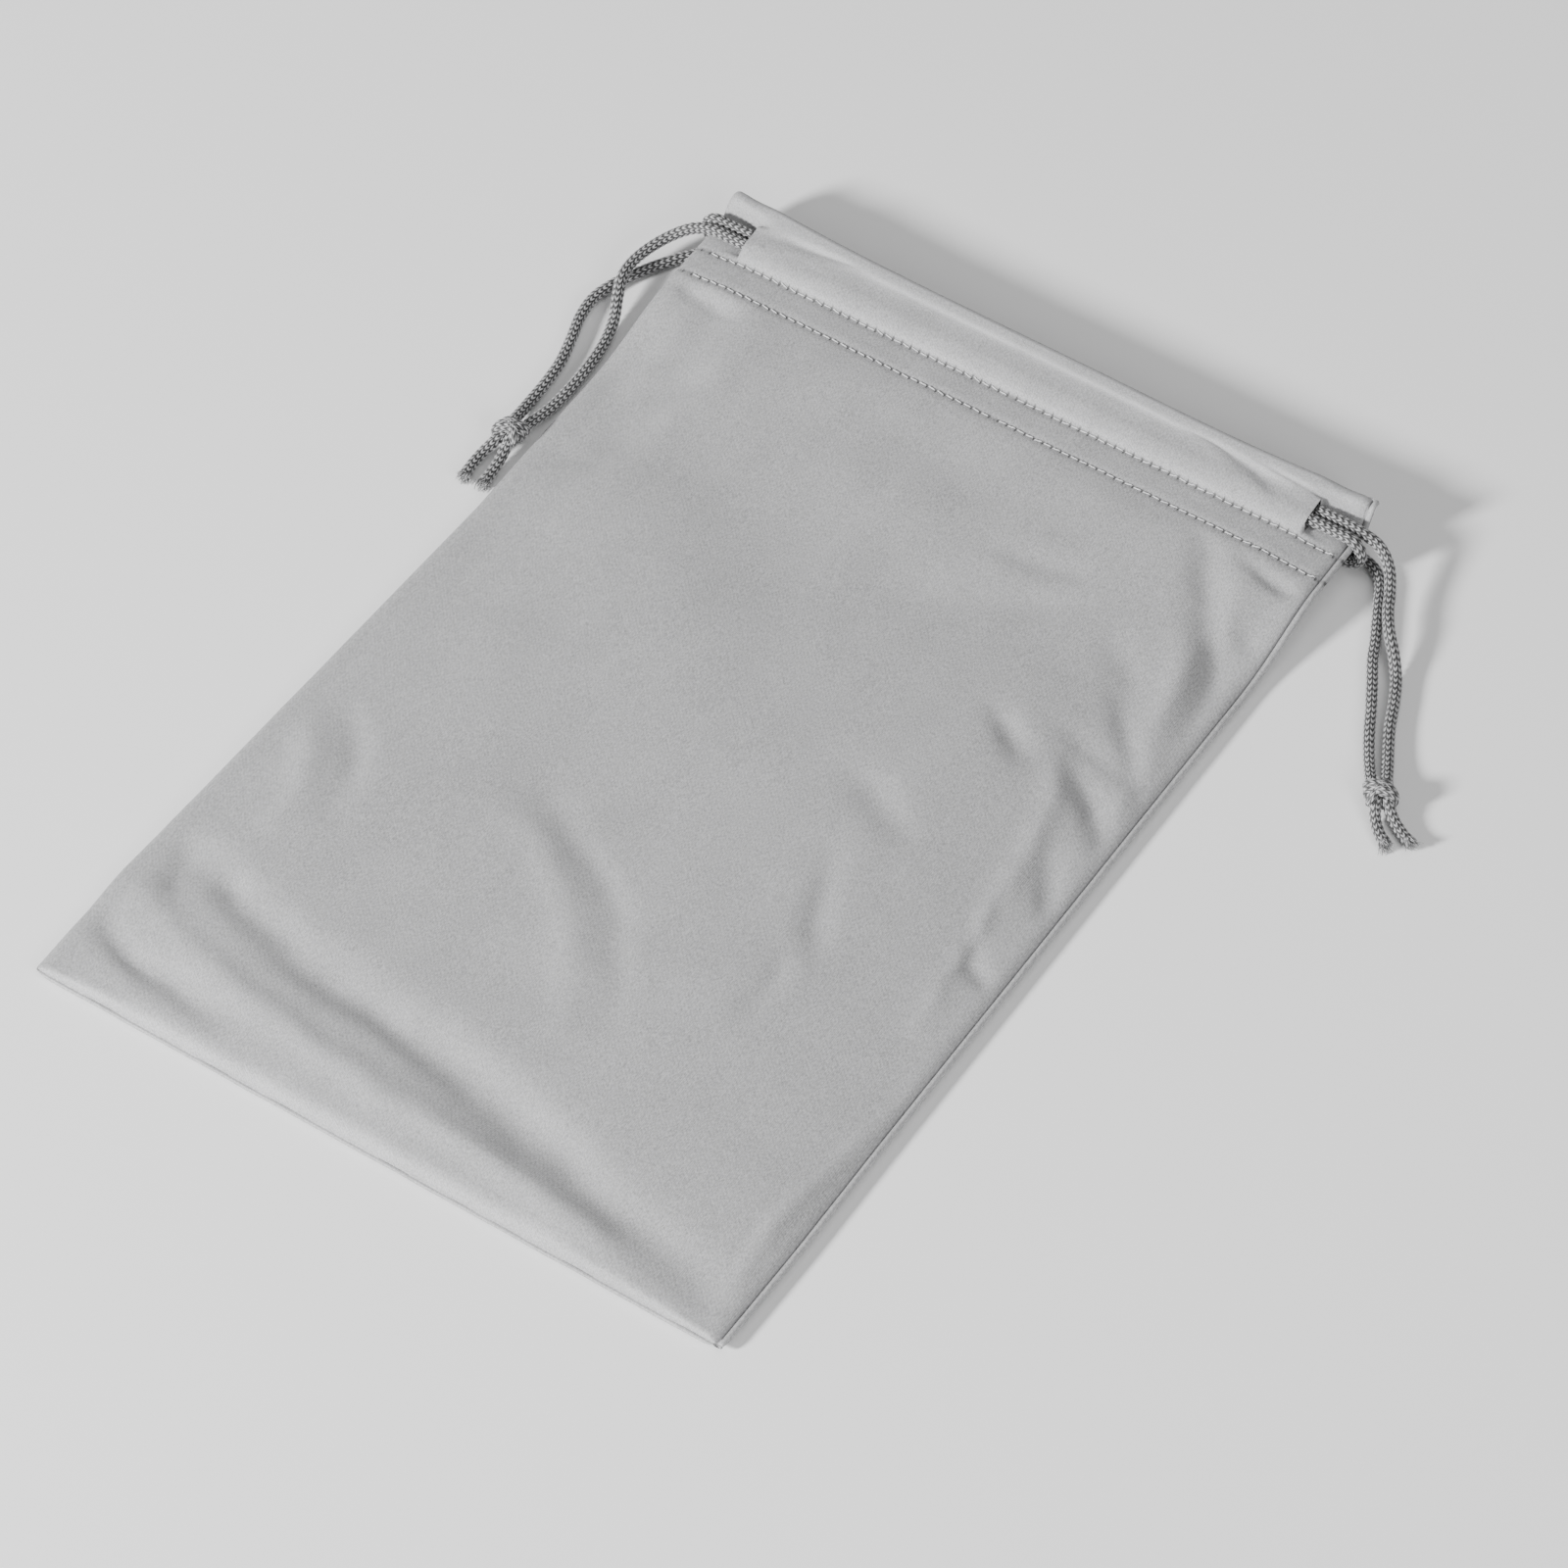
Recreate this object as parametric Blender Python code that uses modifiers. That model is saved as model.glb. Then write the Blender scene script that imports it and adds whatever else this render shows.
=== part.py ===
"""A flat drawstring shoe bag, lying on its back with two knotted drawcords.

Metres, +Z up.  X runs across the bag, from the folded left side to the seamed
right side.  Y runs from the bottom seam to the mouth.  The origin is under the
middle of the bag, on the surface it lies on.

The cloth is one sheet, folded at the left side, so its front, its back and the
fold between them are three nodes that meet edge to edge.  The hem of each panel
is turned in, which makes a channel for the two drawcords.  Each cord starts at
one side, runs through the front channel, loops round the far edge, comes back
through the back channel, and is knotted to its own start.
"""

import math

import bmesh
import bpy
import numpy as np
from mathutils import Vector

# Driving dimensions
HALF_WIDTH = 0.120
HALF_LENGTH = 0.186
CLOTH = 0.0006
CORD = 0.0042
GAP = 0.0003
MOUTH_GAP = 0.0050
EDGE_CLEARANCE = 0.0005

# Edges of the panels, measured across from the middle
FOLD_JOIN = 0.1140
SEAM_LINE = 0.1167
CHANNEL_FLAT = 0.100
CHANNEL_END = 0.112

# Places along the length
LOWER_ROW_Y = 0.1467
UPPER_ROW_Y = 0.1575
HEM_EDGE_Y = 0.1435
CORD_Y = {"left": 0.1643, "right": 0.1688}
SLOT_LOW_Y = 0.1616
SLOT_HIGH_Y = 0.1715
HEM_FOLD_Y = 0.181
BOTTOM_ROLL_Y = 0.183
RAISE_START_Y = 0.095
RAISE_END_Y = 0.143
RIDGE_START_Y = 0.136
RIDGE_END_Y = 0.141
CROWN_START_Y = -0.182
CROWN_END_Y = -0.137
ROLL_CREST_Y = 0.1855
FACING_END_Y = 0.1852

# Heights of the layers at the mouth, from the surface up
BACK_CORD_Z = CLOTH + GAP + CORD / 2
BACK_FACING_Z = CLOTH + CORD + 2 * GAP
FRONT_FACING_Z = BACK_FACING_Z + CLOTH + MOUTH_GAP + CLOTH
FRONT_CORD_Z = FRONT_FACING_Z + GAP + CORD / 2
CHANNEL_TOP_Z = FRONT_FACING_Z + 2 * GAP + CORD + CLOTH
ROW_TOP_Z = FRONT_FACING_Z + GAP + CLOTH
ROW_BOTTOM_Z = 0.0010
MOUTH_DROP = 0.0016
MOUTH_LIFT = 0.0012
HEM_TOP_Z = CHANNEL_TOP_Z - MOUTH_DROP

# Heights of the two side edges
EDGE_TOP_Z = 0.0034
RAISED_EDGE_TOP_Z = FRONT_CORD_Z - CORD / 2 - EDGE_CLEARANCE
RAISED_EDGE_BOTTOM_Z = BACK_CORD_Z + CORD / 2 + EDGE_CLEARANCE
BODY_TOP_Z = 0.0090
FRONT_END_Z = 0.0029
BACK_END_Z = 0.0016
CROWN_WIDTH = 0.045

# Seam allowances and thread
ALLOWANCE_WIDTH = 0.0080
SIDE_ALLOWANCE_X = 0.1155
SIDE_ALLOWANCE_ENDS_Y = (-0.174, 0.184)
BOTTOM_ALLOWANCE_Y = -0.1825
BOTTOM_ALLOWANCE_ENDS_X = (-0.112, 0.105)
OVERLOCK_OFFSET = 0.0009
OVERLOCK_RADIUS = 0.0005
THREAD_RADIUS = 0.00025

# Cord runs, side loops and knots
RUN_START_X = 0.1040
RUN_POINTS = 16
LOOP_CENTRE_X = 0.1176
LOOP_POINTS = 9
KNOT_DENT = 0.06
KNOT_STRANDS = 3
KNOT_TWIST = 4
KNOT_RADII = (0.0050, 0.0046, 0.0045)
KNOT_CENTRE = {"left": (-0.1270, 0.0640, 0.0046), "right": (0.1747, 0.0891, 0.0046)}
KNOT_TURN = {"left": 0.0, "right": math.radians(36)}

# Routes of the free cord ends, in millimetres, from the slot to the knot
LEG_ROUTES = {
    "left_front_leg": [
        (-104.3, 164.3, 14.0), (-111, 164.3, 14.0), (-118, 164.3, 13.6), (-125, 163, 11.2),
        (-130.5, 158.5, 8.4), (-134, 151, 7.0), (-135, 143, 6.8), (-134, 136.5, 6.6),
        (-131, 129.5, 5.0), (-127.5, 122, 2.8), (-125, 113, 2.1), (-123.6, 103, 2.1),
        (-123, 93, 2.1), (-123.2, 83, 2.1), (-124, 76, 2.6), (-124.7, 68.9, 3.8),
    ],
    "left_back_leg": [
        (-104.3, 164.3, 3.0), (-112, 164.3, 3.0), (-119, 163, 2.8), (-125, 158, 2.2),
        (-130, 150.5, 2.1), (-134, 143, 2.1), (-137.5, 135, 2.1), (-139, 127, 2.1),
        (-137.8, 118.5, 2.1), (-134.8, 109, 2.1), (-132, 99, 2.1), (-130.8, 89, 2.1),
        (-130.4, 80, 2.1), (-129.9, 74.5, 2.7), (-129.3, 68.9, 3.8),
    ],
    "right_front_leg": [
        (104.3, 168.8, 14.0), (112, 168.8, 14.0), (119.5, 168.8, 13.6), (127, 168.2, 12),
        (133, 164.3, 9.4), (137.5, 157.5, 7.6), (141, 150.5, 7.0), (145.5, 143.8, 6.4),
        (150.5, 138.2, 4.4), (155, 132, 2.5), (159, 124, 2.1), (162.8, 115, 2.1),
        (167, 107, 2.1), (170.8, 100, 2.6), (173.7, 94.5, 3.8),
    ],
    "right_back_leg": [
        (104.3, 168.8, 3.0), (112, 168.8, 3.0), (120, 168.6, 2.8), (127, 166.8, 2.3),
        (131.8, 162, 2.1), (135.3, 155, 2.1), (138.8, 148, 2.1), (142, 141.5, 2.1),
        (145.2, 134.5, 2.1), (150, 126, 2.1), (154.6, 117.5, 2.1), (159, 109, 2.1),
        (163.2, 101.8, 2.1), (166.8, 96.2, 2.7), (169.9, 91.7, 3.8),
    ],
}
TAIL_ROUTES = {
    "left_outer_tail": [(-129.2, 59.1, 3.8), (-130.2, 54, 2.6), (-130.4, 48.5, 2.1), (-129.6, 43, 2.1)],
    "left_inner_tail": [(-124.8, 59.1, 3.8), (-123.9, 54, 2.6), (-123.4, 49, 2.1), (-122.9, 43.5, 2.1)],
    "right_outer_tail": [(179.4, 86.4, 3.8), (182, 84.4, 2.7), (186, 82, 2.1), (190.2, 79.8, 2.1)],
    "right_inner_tail": [(175.8, 83.8, 3.8), (177.6, 81.2, 2.7), (180.8, 78, 2.1), (184.6, 75.2, 2.1)],
}
ROUTE_STEP = 0.0075

# Grid lines of the panels
X_LINES = [0.0, 0.035, 0.064, 0.084, CHANNEL_FLAT, 0.104, 0.108, CHANNEL_END]
Y_BOTTOM_LINES = [-HALF_LENGTH, -ROLL_CREST_Y, -BOTTOM_ROLL_Y, -0.171, -0.156, CROWN_END_Y]
Y_BODY_LINES = [-0.060, 0.020, RAISE_START_Y, 0.106, 0.117, 0.127, RIDGE_START_Y]
Y_HEM_LINES = [RIDGE_END_Y, HEM_EDGE_Y, LOWER_ROW_Y, UPPER_ROW_Y, 0.1595, SLOT_LOW_Y, SLOT_HIGH_Y, 0.176]
Y_MOUTH_LINES = [HEM_FOLD_Y, 0.1838, ROLL_CREST_Y, HALF_LENGTH]
Y_LINES = Y_BOTTOM_LINES + Y_BODY_LINES + Y_HEM_LINES + Y_MOUTH_LINES


def smooth(value, start, end):
    """0 before start, 1 after end, and a soft step between."""
    t = min(max((value - start) / (end - start), 0.0), 1.0)
    return t * t * (3 - 2 * t)


def rounded(value, start, end):
    """0 before start, rising to 1 at end along a quarter of an ellipse."""
    t = min(max((value - start) / (end - start), 0.0), 1.0)
    return 1 - math.sqrt(1 - t * t)


def raised(y):
    """How far the side edges have risen towards the mouth, from 0 to 1."""
    return smooth(y, RAISE_START_Y, RAISE_END_Y)


def channel_side(x):
    """0 over the channel, 1 beside its ends, where the cloth closes on itself."""
    return smooth(abs(x), CHANNEL_FLAT, CHANNEL_END)


def blended(low, high, share):
    return low + (high - low) * share


def edge_top(y):
    return blended(EDGE_TOP_Z, RAISED_EDGE_TOP_Z, raised(y))


def edge_bottom(y):
    return blended(0.0, RAISED_EDGE_BOTTOM_Z, raised(y))


def front_fold_end(x):
    """Height where the front panel turns in at the mouth, just over its facing."""
    return FRONT_FACING_Z + 2 * GAP - MOUTH_DROP * channel_side(x)


def back_fold_end(x):
    """Height where the back panel turns in at the mouth, just under its facing."""
    return BACK_FACING_Z - 2 * GAP + MOUTH_LIFT * channel_side(x)


def back_facing_bottom(y):
    over_rows = ROW_BOTTOM_Z + CLOTH + GAP
    return blended(over_rows, BACK_FACING_Z, smooth(y, UPPER_ROW_Y, SLOT_LOW_Y))


def front_top(x, y):
    """Outer surface of the front panel."""
    crown = smooth(CHANNEL_END - abs(x), 0, CROWN_WIDTH) * smooth(y, CROWN_START_Y, CROWN_END_Y)
    body = blended(EDGE_TOP_Z, BODY_TOP_Z, crown)
    channel = blended(ROW_TOP_Z, CHANNEL_TOP_Z, smooth(y, UPPER_ROW_Y, SLOT_LOW_Y))
    channel = blended(channel, HEM_TOP_Z, smooth(y, SLOT_HIGH_Y, HEM_FOLD_Y))
    hem = blended(channel, RAISED_EDGE_TOP_Z, channel_side(x))
    height = blended(body, hem, raised(y))
    height = blended(height, front_fold_end(x), rounded(y, HEM_FOLD_Y, HALF_LENGTH))
    return blended(height, FRONT_END_Z, rounded(-y, BOTTOM_ROLL_Y, HALF_LENGTH))


def back_bottom(x, y):
    """Outer surface of the back panel, which lies on the surface below."""
    ridge = smooth(y, RIDGE_START_Y, RIDGE_END_Y) - smooth(y, UPPER_ROW_Y, SLOT_LOW_Y)
    height = blended(ROW_BOTTOM_Z * ridge, edge_bottom(y), channel_side(x))
    height = blended(height, back_fold_end(x), rounded(y, HEM_FOLD_Y, HALF_LENGTH))
    return blended(height, BACK_END_Z, rounded(-y, BOTTOM_ROLL_Y, HALF_LENGTH))


def collection(name):
    made = bpy.data.collections.new(name)
    bpy.context.scene.collection.children.link(made)
    return made


def material(name, colour, roughness):
    made = bpy.data.materials.new(name)
    made.use_nodes = True
    shader = made.node_tree.nodes["Principled BSDF"]
    shader.inputs["Base Color"].default_value = (*colour, 1.0)
    shader.inputs["Roughness"].default_value = roughness
    shader.inputs["Metallic"].default_value = 0.0
    return made


def place(name, data, look, home):
    made = bpy.data.objects.new(name, data)
    data.materials.append(look)
    home.objects.link(made)
    return made


def grid_sheet(name, columns, rows, place_point, look, home, flip=False, hole=None, thick=CLOTH):
    """A cloth-thick shell on a grid, whose points place_point(column, row) puts in space."""
    sheet = bmesh.new()
    bmesh.ops.create_grid(sheet, x_segments=len(columns) - 1, y_segments=len(rows) - 1, size=1.0)
    column_steps = np.linspace(-1, 1, len(columns))
    row_steps = np.linspace(-1, 1, len(rows))
    for vertex in sheet.verts:
        column = float(np.interp(vertex.co.x, column_steps, columns))
        row = float(np.interp(vertex.co.y, row_steps, rows))
        vertex.co = place_point(column, row)
    if hole:
        cut = [face for face in sheet.faces if hole(face.calc_center_median())]
        bmesh.ops.delete(sheet, geom=cut, context="FACES")
    if flip:
        bmesh.ops.reverse_faces(sheet, faces=sheet.faces)
    data = bpy.data.meshes.new(name)
    sheet.to_mesh(data)
    sheet.free()
    data.shade_smooth()
    made = place(name, data, look, home)
    solidify = made.modifiers.new("cloth_thickness", "SOLIDIFY")
    solidify.thickness = thick
    solidify.offset = -1
    return made


def slot(centre):
    """Whether a face lies in one of the slots where the cords leave the channel."""
    across = CHANNEL_FLAT < abs(centre.x) < CHANNEL_END
    return across and SLOT_LOW_Y < centre.y < SLOT_HIGH_Y


def panel_lines(left_end, right_end):
    return [-left_end] + lines_within(CHANNEL_END) + [right_end]


def lines_within(limit):
    """The panels' lines across, out to a limit on both sides."""
    half = [x for x in X_LINES if x <= limit]
    return [-x for x in reversed(half[1:])] + half


def add_panels(cloth, home):
    front_lines = panel_lines(FOLD_JOIN, SEAM_LINE)
    grid_sheet("front_panel", front_lines, Y_LINES,
               lambda x, y: (x, y, front_top(x, y)), cloth, home, hole=slot)
    back_lines = panel_lines(FOLD_JOIN, FOLD_JOIN)
    grid_sheet("back_panel", back_lines, Y_LINES,
               lambda x, y: (x, y, back_bottom(x, y)), cloth, home, flip=True, hole=slot)


def add_facings(cloth, home):
    rows = [y for y in Y_LINES if HEM_EDGE_Y <= y < ROLL_CREST_Y] + [FACING_END_Y]
    columns = lines_within(CHANNEL_FLAT)
    grid_sheet("front_hem_facing", columns, rows,
               lambda x, y: (x, y, FRONT_FACING_Z), cloth, home)
    grid_sheet("back_hem_facing", columns, rows,
               lambda x, y: (x, y, back_facing_bottom(y)), cloth, home, flip=True)


def add_edge(name, side, top_join, look, home):
    """The strip that turns round one side edge, from the front panel to the back one."""
    turns = np.linspace(0, math.pi, 7)

    def profile(turn, y):
        top, bottom = edge_top(y), edge_bottom(y)
        start = blended(FOLD_JOIN, top_join, 0.5 + 0.5 * math.cos(turn)) + GAP
        x = start + (HALF_WIDTH - start) * math.sin(turn)
        return (side * x, y, (top + bottom) / 2 + (top - bottom) / 2 * math.cos(turn))

    ends = HALF_LENGTH - GAP
    rows = [-ends] + [y for y in Y_LINES if abs(y) < ROLL_CREST_Y] + [ends]
    grid_sheet(name, turns, rows, profile, look, home, flip=side < 0)


def add_side_allowance(cloth, thread, home):
    """The two raw edges of the right side seam, turned inside, and the thread over them."""
    outer = SIDE_ALLOWANCE_X
    inner = outer - ALLOWANCE_WIDTH
    low, high = SIDE_ALLOWANCE_ENDS_Y
    rows = [y for y in Y_LINES if low < y < high]

    def middle(y):
        return (edge_top(y) + edge_bottom(y)) / 2

    grid_sheet("side_seam_allowance", [inner, outer], rows,
               lambda x, y: (x, y, middle(y) + CLOTH), cloth, home, thick=2 * CLOTH)
    points = [(inner - OVERLOCK_OFFSET, y, middle(y)) for y in rows]
    add_tube("side_seam_overlock", points, OVERLOCK_RADIUS, thread, home, 1)


def add_bottom_allowance(cloth, thread, home):
    """The two raw edges of the bottom seam, turned inside, and the thread over them."""
    outer = BOTTOM_ALLOWANCE_Y
    inner = outer + ALLOWANCE_WIDTH
    height = EDGE_TOP_Z / 2
    columns = np.linspace(*BOTTOM_ALLOWANCE_ENDS_X, 8)
    grid_sheet("bottom_seam_allowance", columns, [outer, inner],
               lambda x, y: (x, y, height + CLOTH), cloth, home, thick=2 * CLOTH)
    points = [(x, inner + OVERLOCK_OFFSET, height) for x in columns]
    add_tube("bottom_seam_overlock", points, OVERLOCK_RADIUS, thread, home, 1)


def add_stitch_rows(thread, home):
    """One thread line for each row of hem stitches, lying just clear of its panel."""
    clear = GAP + THREAD_RADIUS
    lines = lines_within(CHANNEL_END)[1:-1]
    for place_name, y in (("upper", UPPER_ROW_Y), ("lower", LOWER_ROW_Y)):
        front = [(x, y, front_top(x, y) + clear) for x in lines]
        back = [(x, y, back_bottom(x, y) - clear) for x in lines]
        add_tube(f"front_{place_name}_stitches", front, THREAD_RADIUS, thread, home, 1)
        add_tube(f"back_{place_name}_stitches", back, THREAD_RADIUS, thread, home, 1)


def add_tube(name, points, radius, look, home, sides=2):
    data = bpy.data.curves.new(name, "CURVE")
    data.dimensions = "3D"
    data.bevel_depth = radius
    data.bevel_resolution = sides
    data.use_fill_caps = True
    line = data.splines.new("POLY")
    line.points.add(len(points) - 1)
    for point, target in zip(line.points, points):
        point.co = (*target, 1.0)
    return place(name, data, look, home)


def smooth_route(route, step):
    """Points about a step apart on the smooth curve through a route given in millimetres."""
    knots = [Vector(point) / 1000 for point in route]
    knots = [2 * knots[0] - knots[1]] + knots + [2 * knots[-1] - knots[-2]]
    points = []
    for before, start, end, after in zip(knots, knots[1:], knots[2:], knots[3:]):
        pieces = max(1, round((end - start).length / step))
        for index in range(pieces):
            t = index / pieces
            points.append(0.5 * (
                2 * start
                + (end - before) * t
                + (2 * before - 5 * start + 4 * end - after) * t * t
                + (3 * start - before - 3 * end + after) * t ** 3
            ))
    points.append(knots[-2])
    return points


def channel_run(side):
    """Centre line of one cord inside the channels, with its loop round the far edge."""
    y = CORD_Y["left" if side < 0 else "right"]
    straight = np.linspace(side * RUN_START_X, -side * LOOP_CENTRE_X, RUN_POINTS)
    turns = np.linspace(0, math.pi, LOOP_POINTS)[1:-1]
    middle = (FRONT_CORD_Z + BACK_CORD_Z) / 2
    radius = (FRONT_CORD_Z - BACK_CORD_Z) / 2
    loop = [
        (-side * (LOOP_CENTRE_X + radius * math.sin(turn)), y, middle + radius * math.cos(turn))
        for turn in turns
    ]
    front = [(x, y, FRONT_CORD_Z) for x in straight]
    back = [(x, y, BACK_CORD_Z) for x in reversed(straight)]
    return front + loop + back


def add_knot(name, side, look, home):
    """The lump of the overhand knot that ties a cord's two ends together."""
    knot = bmesh.new()
    bmesh.ops.create_uvsphere(knot, u_segments=16, v_segments=10, radius=1.0)
    for vertex in knot.verts:
        around = math.atan2(vertex.co.z, vertex.co.y)
        strand = math.cos(KNOT_STRANDS * around + KNOT_TWIST * vertex.co.x)
        swell = 1 - KNOT_DENT * (1 - strand) / 2
        vertex.co = Vector(r * c for r, c in zip(KNOT_RADII, vertex.co * swell))
    data = bpy.data.meshes.new(name)
    knot.to_mesh(data)
    knot.free()
    data.shade_smooth()
    made = place(name, data, look, home)
    made.location = KNOT_CENTRE[side]
    made.rotation_euler = (0, 0, KNOT_TURN[side])
    return made


def add_drawcords(look, home):
    for side_name, side in (("left", -1), ("right", 1)):
        add_tube(f"{side_name}_cord_run", channel_run(side), CORD / 2, look, home)
        add_knot(f"{side_name}_knot", side_name, look, home)
    for name, route in (LEG_ROUTES | TAIL_ROUTES).items():
        add_tube(name, smooth_route(route, ROUTE_STEP), CORD / 2, look, home)


def main():
    for old in list(bpy.data.objects):
        bpy.data.objects.remove(old)
    home = collection("shoe_bag")
    cloth = material("grey_microfibre", (0.44, 0.44, 0.45), 0.85)
    thread = material("pale_thread", (0.55, 0.55, 0.56), 0.6)
    cord = material("grey_knitted_cord", (0.24, 0.24, 0.25), 0.75)
    add_panels(cloth, home)
    add_facings(cloth, home)
    add_edge("left_fold", -1, FOLD_JOIN, cloth, home)
    add_edge("right_seam_roll", 1, SEAM_LINE, cloth, home)
    add_side_allowance(cloth, thread, home)
    add_bottom_allowance(cloth, thread, home)
    add_stitch_rows(thread, home)
    add_drawcords(cord, home)


main()
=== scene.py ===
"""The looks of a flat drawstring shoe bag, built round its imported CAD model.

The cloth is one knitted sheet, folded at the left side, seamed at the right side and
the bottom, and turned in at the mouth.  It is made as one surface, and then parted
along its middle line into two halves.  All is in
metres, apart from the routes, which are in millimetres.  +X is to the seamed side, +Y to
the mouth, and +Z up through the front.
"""
import math

import bmesh
import bpy
import numpy as np
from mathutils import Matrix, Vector, noise


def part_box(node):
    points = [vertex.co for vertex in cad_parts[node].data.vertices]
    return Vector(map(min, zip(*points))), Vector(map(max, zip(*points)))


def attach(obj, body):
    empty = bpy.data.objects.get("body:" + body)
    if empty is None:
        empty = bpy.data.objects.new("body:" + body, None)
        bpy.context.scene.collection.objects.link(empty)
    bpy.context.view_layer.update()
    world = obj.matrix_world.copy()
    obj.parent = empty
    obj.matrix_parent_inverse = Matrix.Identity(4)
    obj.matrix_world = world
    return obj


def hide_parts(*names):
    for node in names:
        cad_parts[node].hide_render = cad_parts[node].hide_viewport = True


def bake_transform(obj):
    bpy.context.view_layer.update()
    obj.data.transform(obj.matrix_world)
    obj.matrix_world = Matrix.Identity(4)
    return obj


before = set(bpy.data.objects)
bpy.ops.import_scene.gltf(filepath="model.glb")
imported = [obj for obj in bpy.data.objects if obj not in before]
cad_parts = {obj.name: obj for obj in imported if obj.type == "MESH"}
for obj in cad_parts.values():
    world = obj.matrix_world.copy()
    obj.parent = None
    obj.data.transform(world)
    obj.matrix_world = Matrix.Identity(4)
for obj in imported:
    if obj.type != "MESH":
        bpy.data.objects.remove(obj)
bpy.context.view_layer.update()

# ---------------------------------------------------------------- sizes, from the CAD or to suit it
CHANNEL_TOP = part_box("front_panel")[1].z
FACING_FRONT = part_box("front_hem_facing")[1].z
FACING_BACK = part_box("back_hem_facing")[1].z
HEM_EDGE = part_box("front_hem_facing")[0].y
FOLD_LOW, FOLD_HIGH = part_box("left_fold")
HALF_WIDTH = -FOLD_LOW.x
RAISED_TOP = FOLD_HIGH.z
UPPER_ROW = sum((c.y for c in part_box("front_upper_stitches")), 0.0) / 2
LOWER_ROW = sum((c.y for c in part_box("front_lower_stitches")), 0.0) / 2
CORD = 0.0042
CLOTH = 0.0005

# Places across and along
EDGE_JOIN = 0.1140
SEAM_X = 0.1183
SLOT_X = 0.1045
SLOT_LOW, SLOT_HIGH = 0.1612, 0.1722
HEM_FOLD = 0.1838
ROLL_DEPTH = 0.0016
BOTTOM_START = -0.1810
RAISE_START, RAISE_END = 0.095, 0.143
FOLD_LIMIT_X = 0.1178
STITCHED_X = 0.1155

# Heights
EDGE_TOP = 0.0034
RAISED_BOTTOM = 0.0056
BODY_TOP = 0.0092
ROW_TOP = FACING_FRONT + 0.0009
FRONT_CORD_Z, BACK_CORD_Z = 0.0140, 0.0030
CORD_Y = {"left": 0.1643, "right": 0.1688}
STITCH_PITCH = 0.0033
LIFTED = 0.0001  # the least height of a knot above the floor


def millimetres(points):
    return np.array(points, float) / 1000


# ---------------------------------------------------------------- camera
AZIMUTH, ELEVATION, DISTANCE = math.radians(33.6), math.radians(51.1), 2.068
AIM = Vector((0.0211, -0.0035, 0.0))
LENS, SENSOR = 157.5, 36.0


def add_camera():
    ahead = Vector((-math.sin(AZIMUTH) * math.cos(ELEVATION),
                    math.cos(AZIMUTH) * math.cos(ELEVATION), -math.sin(ELEVATION)))
    data = bpy.data.cameras.new("camera")
    data.lens, data.sensor_width = LENS, SENSOR
    camera = bpy.data.objects.new("camera", data)
    bpy.context.scene.collection.objects.link(camera)
    camera.location = AIM - ahead * DISTANCE
    camera.rotation_euler = ahead.to_track_quat("-Z", "Y").to_euler()
    bpy.context.scene.camera = camera


add_camera()


# ---------------------------------------------------------------- helpers
def step(value, start, end):
    t = np.clip((np.asarray(value, float) - start) / (end - start), 0.0, 1.0)
    return t * t * (3 - 2 * t)


def mixed(low, high, share):
    return low + (high - low) * share


def link(obj):
    bpy.context.scene.collection.objects.link(obj)
    return obj


def mesh_piece(name, points, faces, look):
    data = bpy.data.meshes.new(name)
    data.from_pydata([tuple(p) for p in points], [], [tuple(f) for f in faces])
    data.materials.append(look)
    data.update()
    data.shade_smooth()
    return link(bpy.data.objects.new(name, data))


def store(obj, name, values):
    values = np.asarray(values, np.float32)
    kind = "FLOAT" if values.ndim == 1 else "FLOAT_VECTOR"
    made = obj.data.attributes.new(name, kind, "POINT")
    made.data.foreach_set("value" if values.ndim == 1 else "vector", values.ravel())


# ---------------------------------------------------------------- materials
COOL = 1.012  # how much more blue a grey has than red
# Sizes of the needle-hole marks, and the width of the painted shadow line along each stitch row
HOLE_ALONG, HOLE_ACROSS, ROW_SHADOW_ACROSS = 0.00026, 0.00062, 0.00060


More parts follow.
